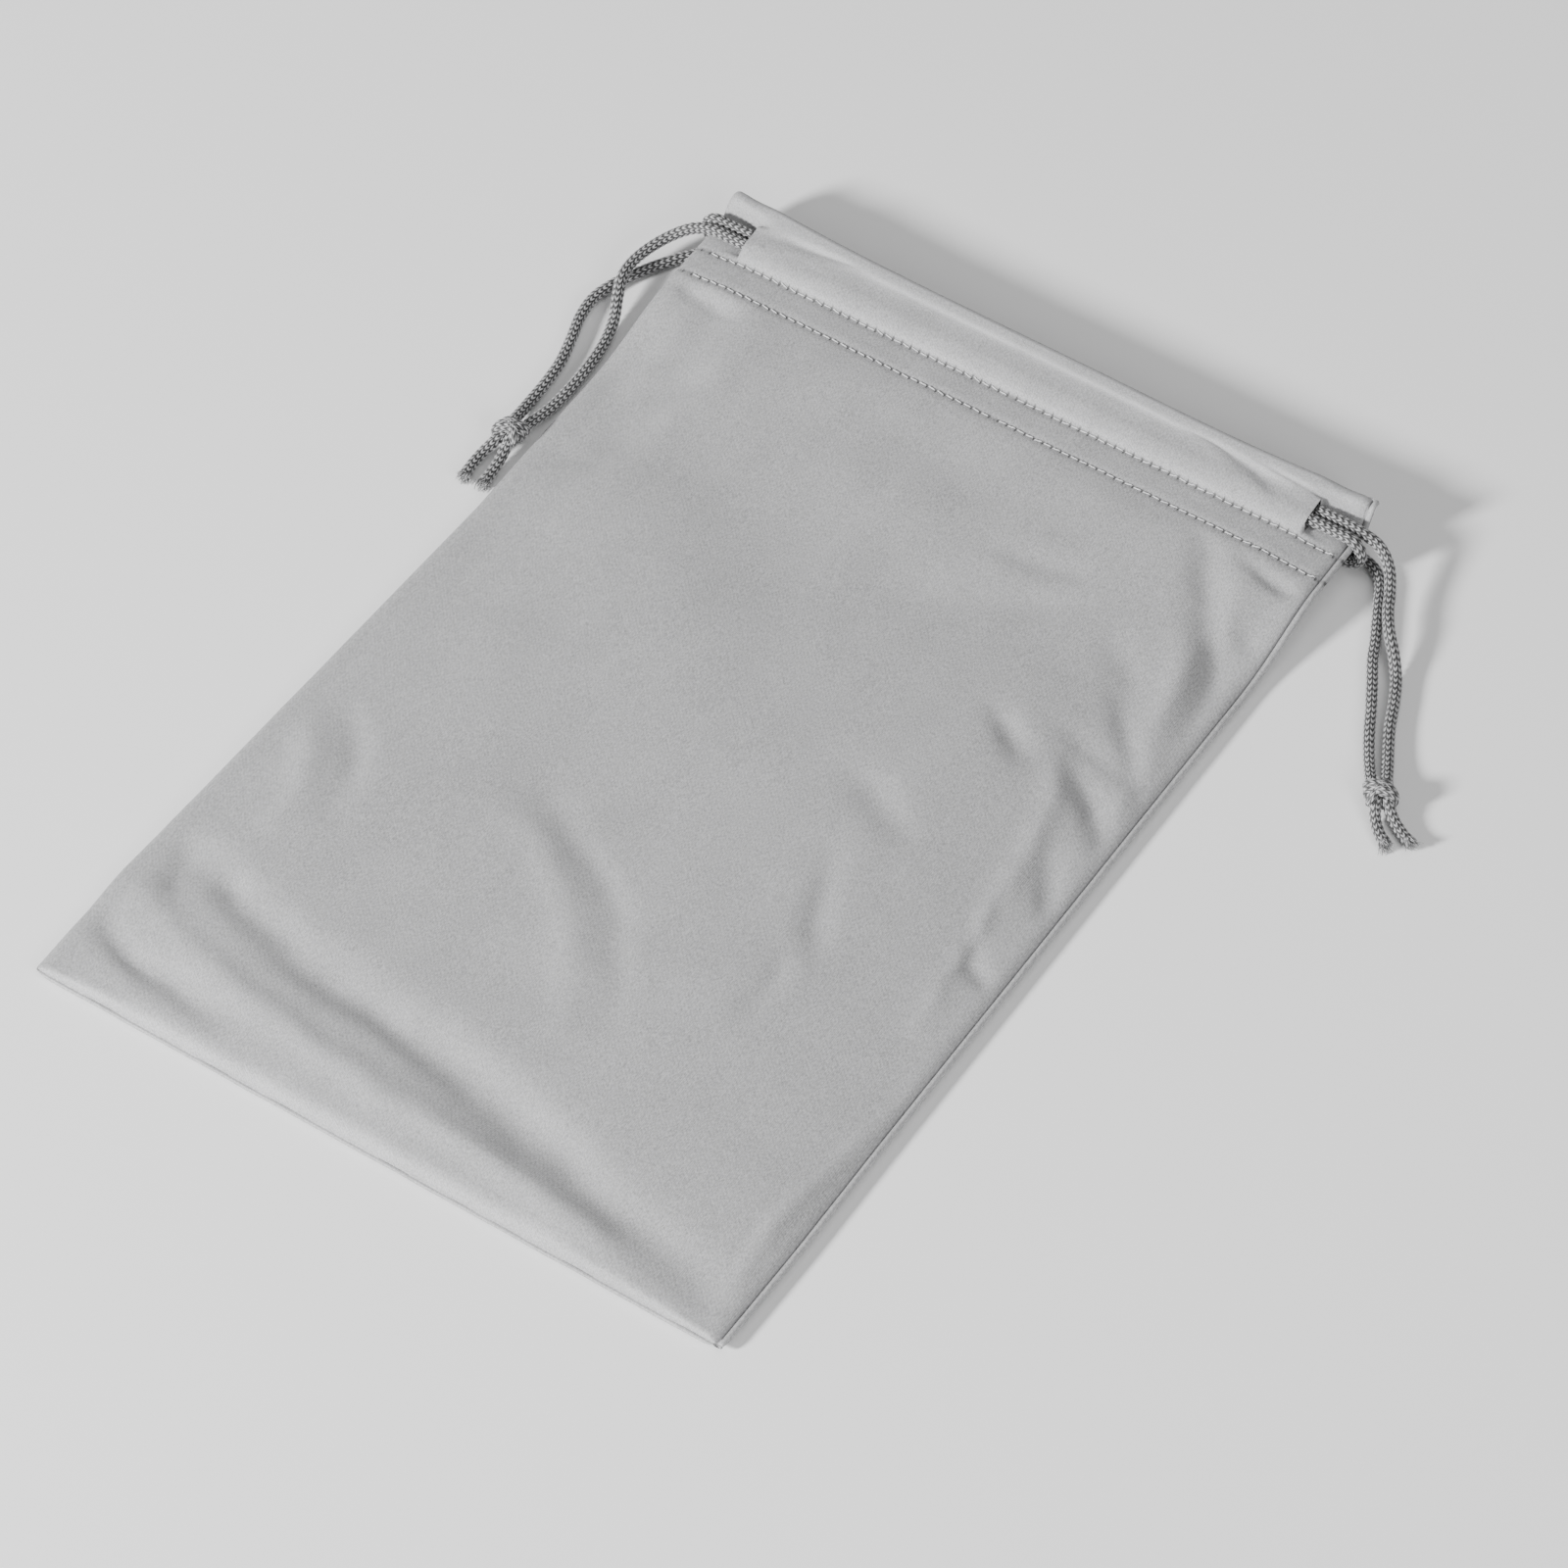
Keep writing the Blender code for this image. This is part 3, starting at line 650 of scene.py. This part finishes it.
def front_z(x, y):
    reach = mixed(0.050, 0.075, step(x, 0, 0.08))
    crown = np.sin(math.pi / 2 * np.clip((0.1195 - np.abs(x)) / reach, 0, 1))
    from_end = np.clip(y + 0.1852, 0, 1)
    crown = crown * (0.54 * (1 - np.exp(-from_end / 0.0095)) + 0.30 * (1 - np.exp(-from_end / 0.0022))
                     + 0.16 * step(y, -0.166, -0.135))
    body = mixed(EDGE_TOP, BODY_TOP, crown)
    share, near = slot_share(x, y)
    tunnel = np.sin(math.pi / 2 * np.clip((y - UPPER_ROW) / 0.0085, 0, 1)) ** 0.75
    channel = mixed(ROW_TOP, CHANNEL_TOP - 0.0003, tunnel)
    channel = channel + 0.0030 * np.clip((y - 0.1655) / 0.0185, 0, 1) ** 1.15
    lip = near * np.exp(-((SLOT_X - np.abs(x)).clip(0) / 0.0022) ** 2) * (np.abs(x) < SLOT_X)
    hem = mixed(channel, edge_top(y), share) - 0.0003 * lip
    by_fold = step(-x, 0.098, 0.112)
    height = mixed(body, hem, step(y, mixed(0.072, 0.056, by_fold), mixed(0.143, 0.133, by_fold)))
    inside = step(FOLD_LIMIT_X - np.abs(x), 0, 0.007) * (1 - step(y, 0.137, 0.1455))
    inside = inside * step(y, -0.184, -0.176)
    uneven = 0.00080 * ripple(x, y, 0.055, 3.1)
    height = height + (fold_height(x, y, FOLDS) + uneven + 0.00028 * ripple(x, y, 0.022, 7.7)) * inside
    for row in (UPPER_ROW, LOWER_ROW):
        pull = np.exp(-((y - row) / 0.0013) ** 2)
        pit = 0.5 + 0.5 * np.cos(2 * math.pi * x / STITCH_PITCH)
        height = height - pull * (0.00030 + 0.00022 * pit) * (np.abs(x) < STITCHED_X)
    pucker = np.exp(-((y - 0.150) / 0.010) ** 2) * step(0.116 - np.abs(x), 0, 0.01)
    height = height + 0.00032 * pucker * ripple(x, y, 0.0085, 12.5, 2.2)
    hem_wave = step(y, UPPER_ROW, 0.170) * (1 - step(y, 0.176, 0.186)) * (1 - share)
    uneven = 0.00040 * ripple(x, y, 0.016, 21.0, 1.6) + 0.0003 * ripple(x, y, 0.045, 25.0)
    return height + hem_wave * (uneven + fold_height(x, y, PUCKERS))


def back_z(x, y):
    share, _ = slot_share(x, y)
    ridge = 0.0008 * (step(y, 0.136, 0.141) - step(y, UPPER_ROW, 0.1616))
    lift = 0.00025 * (1 + ripple(x, y, 0.035, 44.0)) * step(0.110 - np.abs(x), 0, 0.02)
    lift = lift * (1 - step(y, 0.13, 0.15))
    return mixed(ridge + lift, edge_bottom(y), share * raised(y))


def loop_columns():
    """The columns round the bag: their kind, and their place across or their turn.

    The kinds are g for the groove beside the side seam, f for the front, l for the fold at
    the left, b for the back and r for the side seam at the right.
    """
    body = np.linspace(0, 0.099, 61)
    near_slot = np.array([0.1003, 0.1015, 0.1027, 0.1037, 0.1044, 0.1046,
                          0.1053, 0.1064, 0.1078, 0.1094, 0.1110, 0.1126])
    half = np.concatenate([body, near_slot])
    across = np.concatenate([-half[:0:-1], half])
    front_right = np.array([0.1140, 0.1156, 0.1168, 0.1176, 0.1180])
    front = np.concatenate([across, front_right])[::-1]
    left = np.linspace(0, math.pi, 13)
    right = np.linspace(math.pi, 0, 15)
    kinds = np.array(["g"] + ["f"] * len(front) + ["l"] * len(left) + ["b"] * len(across)
                     + ["r"] * len(right))
    values = np.concatenate([[SEAM_X], front, left, across, right])
    return kinds, values


def seam_roll(places, top, bottom):
    """The back cloth where it comes up round the side seam: a narrow lip, cut away below."""
    under = top - 0.0024
    profile = np.array([
        (EDGE_JOIN, bottom), (0.1168, mixed(under, bottom, 0.80)), (0.1192, mixed(under, bottom, 0.15)),
        (0.1203, top - 0.0018), (0.1207, top - 0.0011), (0.1203, top - 0.0004), (0.1195, top - 0.0002),
        (0.1189, top - 0.0006), (0.1186, top - 0.0013),
    ])
    line = smooth_route(np.column_stack([profile, np.zeros(len(profile))]), 0.00005)
    share = (math.pi - places) / math.pi * (len(line) - 1)
    return tuple(np.interp(share, np.arange(len(line)), line[:, k]) for k in range(2))


def outer_row(kinds, values, y):
    """Points of the outer cloth at one place along the bag."""
    bottom = float(edge_bottom(y))
    ends = front_z(np.array([-EDGE_JOIN, values[1]]), np.array([y, y]))
    middle, half = (ends[0] + bottom) / 2, (ends[0] - bottom) / 2
    top = ends[1]
    x, z = np.zeros(len(values)), np.zeros(len(values))
    front, back, left, right = (kinds == k for k in "fblr")
    x[front] = values[front]
    seam_fall = 0.0010 * np.clip((values[front] - 0.1150) / 0.0030, 0, 1) ** 2
    z[front] = front_z(values[front], np.full(front.sum(), y)) - seam_fall
    x[back] = values[back]
    z[back] = back_z(values[back], np.full(back.sum(), y))
    square = mixed(1.0, 0.5, float(step(y, 0.163, 0.182)))
    x[left] = -(EDGE_JOIN + (HALF_WIDTH - EDGE_JOIN) * np.sin(values[left]) ** square)
    z[left] = middle + half * np.cos(values[left])
    x[right], z[right] = seam_roll(values[right], top, bottom)
    groove = kinds == "g"
    x[groove], z[groove] = SEAM_X, top - 0.0028
    return np.stack([x, np.full(len(x), y), z], 1)


MEET_GAP = 0.0016  # between the outer cloth and the turned-in cloth at the mouth


def inner_row(kinds, values, y):
    """Points of the turned-in hem at one place along the bag."""
    top, bottom = FACING_FRONT - 0.0012, FACING_BACK + 0.0005
    x, z = np.zeros(len(values)), np.zeros(len(values))
    front, back, left, right = (kinds == k for k in "fblr")
    side = step(np.abs(values), 0.096, 0.110)
    meet = float(step(y, 0.1808, HEM_FOLD))
    narrow, reach = mixed(0.1085 / EDGE_JOIN, 1.0, meet), mixed(0.1115, 0.1182, meet)
    inset = mixed(0.1085, EDGE_JOIN, meet)
    x[front], x[back] = values[front] * narrow, values[back] * narrow
    z[front] = mixed(FACING_FRONT - 0.0006, top, side[front])
    back_low = mixed(0.0025, FACING_BACK, float(step(y, UPPER_ROW, 0.1614)))
    z[back] = mixed(back_low, max(bottom, back_low), side[back])
    low_edge = max(bottom, back_low)
    top = mixed(top, float(edge_top(y)) - MEET_GAP, meet)
    low_edge = mixed(low_edge, float(edge_bottom(y)) + MEET_GAP, meet)
    z[front] = mixed(z[front], front_z(values[front], np.full(front.sum(), y)) - MEET_GAP, meet)
    z[back] = mixed(z[back], back_z(values[back], np.full(back.sum(), y)) + MEET_GAP, meet)
    middle, half = (top + low_edge) / 2, (top - low_edge) / 2
    x[left] = -(inset + (reach - inset) * np.sin(values[left]))
    z[left] = middle + half * np.cos(values[left])
    x[right] = inset + (reach - inset) * np.sin(values[right])
    z[right] = middle + half * np.cos(values[right])
    groove = kinds == "g"
    x[groove], z[groove] = (inset + reach) / 2, top - 0.0002
    return np.stack([x, np.full(len(x), y), z], 1)


def bottom_rows(kinds, values):
    """The roll along the bottom seam, where the back is turned up to meet the front."""
    base = outer_row(kinds, values, BOTTOM_START)
    front_profile = [(-0.1851, 0.0021), (-0.1849, 0.0026), (-0.1845, 0.0032), (-0.1838, 0.0040),
                     (-0.1827, 0.0050)]
    back_profile = [(-0.1851, 0.0021), (-0.1854, 0.0025), (-0.1859, 0.0023), (-0.1861, 0.0013),
                    (-0.1852, 0.0003)]
    rows = []
    upper, lower = np.isin(kinds, ("f", "g")), kinds == "b"
    turn = np.where(np.isin(kinds, ("l", "r")), values, 0.0)
    for (front_y, front_height), (back_y, back_height) in zip(front_profile, back_profile):
        row = base.copy()
        share = np.where(upper, 0.0, np.where(lower, 1.0, 0.5 - 0.5 * np.cos(turn)))
        row[:, 1] = mixed(front_y, back_y, share)
        wave = 0.00018 * np.sin(row[:, 0] / 0.0041) * np.sin(row[:, 0] / 0.0173 + 1)
        row[:, 2] = mixed(front_height, back_height, share) + wave
        pinch = mixed(0.9965, 1.0, step(front_y, -0.1850, -0.1824))
        row[:, 0] *= pinch
        row[kinds == "g", 2] -= 0.0004
        row[:, 2] = np.minimum(row[:, 2], np.maximum(base[:, 2], 0.0021))
        rows.append(row)
    return rows


def settle(points):
    """The uneven outline: both sides move a little, and the mouth sags, most in the middle."""
    x, y = points[:, 0].copy(), points[:, 1].copy()
    places = [-0.186, -0.152, -0.141, -0.10, -0.02, 0.035, 0.10, 0.150, 0.186]
    left_in = [0.0030, 0.0036, 0.0038, 0.0024, 0.0002, -0.0012, -0.0004, 0.0001, 0.0004]
    right_out = [0.0006, 0.0010, 0.0010, 0.0006, 0.0004, 0.0002, 0.0001, 0.0, -0.0004]
    left, right = np.interp(y, places, left_in), np.interp(y, places, right_out)
    points[:, 0] = x - left * step(-x, 0.04, 0.115) + right * step(x, 0.04, 0.115)
    across = np.clip(x / HALF_WIDTH, -1, 1)
    sag = 0.0044 + 0.0044 * (1 - across ** 4) + 0.0010 * step(x, 0.0, 0.12)
    points[:, 1] = y - sag * step(y, 0.168, 0.184)
    return points


LIP = 0.0003  # half the width of the slit that parts the cloth at a slot


def make_cloth_mesh():
    """Points, faces and flat places of the whole sheet, from the bottom roll to the hem's raw edge."""
    kinds, values = loop_columns()
    rows = bottom_rows(kinds, values)
    body = np.concatenate([
        np.arange(BOTTOM_START, -0.170, 0.0012), np.arange(-0.1695, 0.133, 0.0020),
        np.arange(0.1335, 0.1585, 0.00075), np.arange(0.1590, HEM_FOLD, 0.00072),
    ])
    rows += [outer_row(kinds, values, y) for y in body]
    last, first = outer_row(kinds, values, HEM_FOLD), inner_row(kinds, values, HEM_FOLD)
    rows.append(last)
    outer_count = len(rows)
    for turn in np.linspace(0, math.pi, 10)[1:-1]:
        share = (1 - math.cos(turn)) / 2
        row = mixed(last, first, share)
        row[:, 0] = mixed(last[:, 0], first[:, 0], share ** 2)
        row[:, 1] += ROLL_DEPTH * math.sin(turn)
        rows.append(row)
    turned_in = np.concatenate([np.arange(HEM_FOLD, 0.1796, -0.0006),
                                np.arange(0.1790, HEM_EDGE - 0.0001, -0.0018)])
    rows += [inner_row(kinds, values, y) for y in turned_in]
    grid = np.stack(rows)
    height, width = grid.shape[:2]
    flat = grid.copy()
    flat[outer_count:, :, 1] = 2 * flat[outer_count - 1, :1, 1] + 0.01 - flat[outer_count:, :, 1]
    index = np.arange(height * width).reshape(height, width)
    following = np.roll(index, -1, axis=1)
    faces = np.stack([index[:-1], index[1:], following[1:], following[:-1]], -1)
    lip = (np.abs(values) > SLOT_X - LIP) & (np.abs(values) < SLOT_X + LIP) & np.isin(kinds, ("f", "b"))
    at_slit = lip & np.roll(lip, -1)
    centre_y = (grid[:-1, :, 1] + grid[1:, :, 1]) / 2
    in_slot = at_slit[None, :] & (centre_y > SLOT_LOW) & (centre_y < SLOT_HIGH)
    in_slot[outer_count - 1:] = False
    faces = faces[~in_slot]
    points = settle(grid.reshape(-1, 3).copy())
    return points, faces, flat.reshape(-1, 3)


def weld(points, faces, flat):
    """The sheet with points at one place joined, and its vertex normals."""
    sheet = mesh_piece("cloth_sheet", points, faces.tolist(), CLOTH_LOOK)
    store(sheet, "flat", flat)
    mesh = bmesh.new()
    mesh.from_mesh(sheet.data)
    bmesh.ops.remove_doubles(mesh, verts=mesh.verts, dist=0.00001)
    mesh.to_mesh(sheet.data)
    mesh.free()
    data = sheet.data
    points, normals, flat = (np.empty(len(data.vertices) * 3, np.float32) for _ in range(3))
    data.vertices.foreach_get("co", points)
    data.vertices.foreach_get("normal", normals)
    data.attributes["flat"].data.foreach_get("vector", flat)
    faces = [tuple(face.vertices) for face in data.polygons]
    bpy.data.objects.remove(sheet)
    points, normals = (values.reshape(-1, 3).astype(float) for values in (points, normals))
    return points, faces, flat.reshape(-1, 3), normals


def make_half(name, side, points, faces, flat, normals):
    """One half of the sheet, given its thickness inward and a rim round its open edges."""
    faces = [face for face in faces if np.mean([points[v][0] for v in face]) * side > 0]
    used = sorted({v for face in faces for v in face})
    place = {v: i for i, v in enumerate(used)}
    faces = [tuple(place[v] for v in face) for face in faces]
    count = len(used)
    points, flat, normals = points[used], flat[used], normals[used]
    edges = dict.fromkeys(edge for face in faces for edge in zip(face, face[1:] + face[:1]))
    rim = [(b, a, a + count, b + count) for a, b in edges if (b, a) not in edges]
    inside = [tuple(v + count for v in reversed(face)) for face in faces]
    both_faces = np.concatenate([points, points - normals * CLOTH])
    made = mesh_piece(name, both_faces, faces + inside + rim, CLOTH_LOOK)
    store(made, "flat", np.concatenate([flat, flat]))
    made.data.normals_split_custom_set_from_vertices(np.concatenate([normals, -normals]).tolist())
    return made


def make_cloth_halves():
    sheet = weld(*make_cloth_mesh())
    return [make_half(name, side, *sheet) for name, side in (("cloth_left", -1), ("cloth_right", 1))]


def blend_side(piece):
    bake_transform(piece)


# ---------------------------------------------------------------- stitches
THREAD, OVERLOCK_THREAD, OVERLOCK_PITCH = 0.00022, 0.00018, 0.0024


def capsule_path(points, radius, sides=7):
    """Points and faces of a round thread along a short line, drawn in at both ends."""
    points = np.asarray(points, float)
    ahead = np.gradient(points, axis=0)
    ahead /= np.linalg.norm(ahead, axis=1)[:, None]
    up = np.array([0.0, 0.0, 1.0]) - ahead * ahead[:, 2:3]
    up /= np.linalg.norm(up, axis=1)[:, None]
    side = np.cross(ahead, up)
    share = np.linspace(-1, 1, len(points))
    width = radius * np.sqrt(np.clip(1 - share ** 6, 0.03, 1))
    turns = np.linspace(0, 2 * math.pi, sides, endpoint=False)
    ring = circle(turns, side, up)
    made = (points[:, None, :] + width[:, None, None] * ring).reshape(-1, 3)
    faces = []
    for row in range(len(points) - 1):
        for corner in range(sides):
            a, b = row * sides + corner, row * sides + (corner + 1) % sides
            faces.append((a, b, b + sides, a + sides))
    faces.append(tuple(range(sides))[::-1])
    faces.append(tuple(range((len(points) - 1) * sides, len(points) * sides)))
    return made, faces


def make_stitch_row(name, side, y, height_of, lift, seed, limit):
    """Half a row of lockstitches: one thread bridge for each stitch, dipping at its holes."""
    rng = np.random.default_rng(seed)
    points, faces = [], []
    for index in range(int(limit / STITCH_PITCH)):
        start, end = (index + 0.5) * STITCH_PITCH, (index + 1.5) * STITCH_PITCH
        slant = rng.normal(0.00012, 0.00010)
        off = rng.normal(0, 0.00006)
        xs = np.linspace(start + THREAD, end - THREAD, 7)
        share = np.linspace(-1, 1, 7)
        ys = y + off + slant * share
        zs = height_of(xs * side, ys) + lift * (0.00036 - 0.00055 * share ** 6)
        made, some = capsule_path(np.stack([xs * side, ys, zs], 1), THREAD)
        base = sum(len(p) for p in points)
        points.append(made)
        faces += [tuple(base + v for v in face) for face in some]
    return mesh_piece(name, settle(np.concatenate(points)), faces, THREAD_LOOK)


def make_overlock(name, line, across, seed):
    """Overlock thread looped over a raw edge."""
    rng = np.random.default_rng(seed)
    long = length_along(line)
    places = np.arange(0, long[-1], 0.00022)
    core = np.stack([np.interp(places, long, line[:, k]) for k in range(3)], 1)
    turn = 2 * math.pi * places / OVERLOCK_PITCH + 0.3 * np.sin(places / 0.011 + rng.uniform(0, 6))
    reach = np.where(np.cos(turn) > 0, 0.0009, 0.0026)
    core = core + np.asarray(across)[None, :] * (reach * np.cos(turn))[:, None]
    core[:, 2] += 0.00085 * np.sin(turn)
    made, faces = capsule_path(core, OVERLOCK_THREAD, 5)
    return mesh_piece(name, made, faces, THREAD_LOOK)


def make_allowance(name, grid_low, grid_high):
    """Two raw edges lying together: a strip between two lines of points."""
    points = np.stack([grid_low, mixed(grid_low, grid_high, 0.5), grid_high], 1)
    rows = len(points)
    wave = 0.00015 * np.sin(np.arange(rows) * 0.9)[:, None] * np.array([0.0, 0.5, 1.0])[None, :]
    top, bottom = points.copy(), points.copy()
    top[:, :, 2] += 0.00042 + wave
    bottom[:, :, 2] += wave - 0.00042
    ring = np.stack([bottom[:, 0], bottom[:, 1], bottom[:, 2], top[:, 2], top[:, 1], top[:, 0]], 1)
    faces = []
    for row in range(rows - 1):
        for corner in range(6):
            a, b = row * 6 + corner, row * 6 + (corner + 1) % 6
            faces.append((a, b, b + 6, a + 6))
    faces.append(tuple(range(6))[::-1])
    faces.append(tuple(range((rows - 1) * 6, rows * 6)))
    made = mesh_piece(name, ring.reshape(-1, 3), faces, CLOTH_LOOK)
    store(made, "flat", ring.reshape(-1, 3))
    return made


BOTTOM_ALLOWANCE_Y, BOTTOM_POINTS = (-0.1745, -0.1825), 60
SIDE_ALLOWANCE_X, SIDE_POINTS = (0.1075, 0.1150), 150


def make_cloth_parts():
    left, right = make_cloth_halves()
    halves = {-1: left, 1: right}
    on_cloth = {-1: [], 1: []}
    shared = ("front_panel", "back_panel", "front_hem_facing", "back_hem_facing")
    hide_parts(*shared, "left_fold")
    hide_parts(*shared, "right_seam_roll")
    rows = {"upper": UPPER_ROW, "lower": LOWER_ROW}
    for side, label in ((-1, "left"), (1, "right")):
        for row, y in rows.items():
            limit = STITCHED_X if side > 0 else 0.1150
            for face, height_of, lift in (("front", front_z, 1), ("back", back_z, -1)):
                seed = 100 + 10 * (side > 0) + (row == "upper") + 2 * (face == "back")
                piece = make_stitch_row(f"{face}_{row}_stitches_{label}", side, y, height_of, lift,
                                        seed, limit)
                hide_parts(f"{face}_{row}_stitches")
                on_cloth[side].append(piece)
        reach = np.linspace(0, 0.112 if side < 0 else 0.105, BOTTOM_POINTS) * side
        height = np.full(BOTTOM_POINTS, EDGE_TOP / 2)
        inner_line, outer_line = (np.stack([reach, np.full(BOTTOM_POINTS, y), height], 1)
                                  for y in BOTTOM_ALLOWANCE_Y)
        strip = make_allowance(f"bottom_allowance_{label}", inner_line, outer_line)
        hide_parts("bottom_seam_allowance")
        thread = make_overlock(f"bottom_overlock_{label}", inner_line, (0, -1, 0), 60 + side)
        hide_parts("bottom_seam_overlock")
        on_cloth[side] += [strip, thread]
    places = np.linspace(-0.171, 0.1765, SIDE_POINTS)
    heights = (edge_top(places) + edge_bottom(places)) / 2
    inner_line, outer_line = (np.stack([np.full(SIDE_POINTS, x), places, heights], 1)
                              for x in SIDE_ALLOWANCE_X)
    strip = make_allowance("side_allowance", inner_line, outer_line)
    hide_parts("side_seam_allowance")
    thread = make_overlock("side_overlock", inner_line, (1, 0, 0), 77)
    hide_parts("side_seam_overlock")
    on_cloth[1] += [strip, thread]
    for side in (-1, 1):
        for piece in [halves[side], *on_cloth[side]]:
            blend_side(piece)


make_cloth_parts()


# ---------------------------------------------------------------- floor and light
FLOOR_SIZE, FLOOR_Z = 12.0, -0.0004
WORLD_STRENGTH = 0.20


def add_floor():
    bpy.ops.mesh.primitive_plane_add(size=FLOOR_SIZE, location=(0, 0, FLOOR_Z))
    floor = bpy.context.object
    floor.name = "floor"
    look = Nodes("pale_floor", Base_Color=(0.93, 0.93, 0.93, 1.0), Roughness=0.95)
    floor.data.materials.append(look.material)


def add_light(name, place, size, power):
    data = bpy.data.lights.new(name, "AREA")
    data.shape, data.size, data.energy = "DISK", size, power
    lamp = link(bpy.data.objects.new(name, data))
    lamp.location = place
    lamp.rotation_euler = (Vector((0, 0, 0)) - Vector(place)).to_track_quat("-Z", "Y").to_euler()


add_floor()
add_light("key", (-1.2, -1.95, 1.1), 0.45, 146.0)
add_light("right_fill", (1.9, -0.9, 1.3), 1.2, 26.0)
add_light("top_fill", (0.3, 0.3, 2.4), 2.0, 14.0)
world = bpy.data.worlds.new("studio")
world.use_nodes = True
world.node_tree.nodes["Background"].inputs["Color"].default_value = (1.0, 1.0, 1.0, 1.0)
world.node_tree.nodes["Background"].inputs["Strength"].default_value = WORLD_STRENGTH
bpy.context.scene.world = world
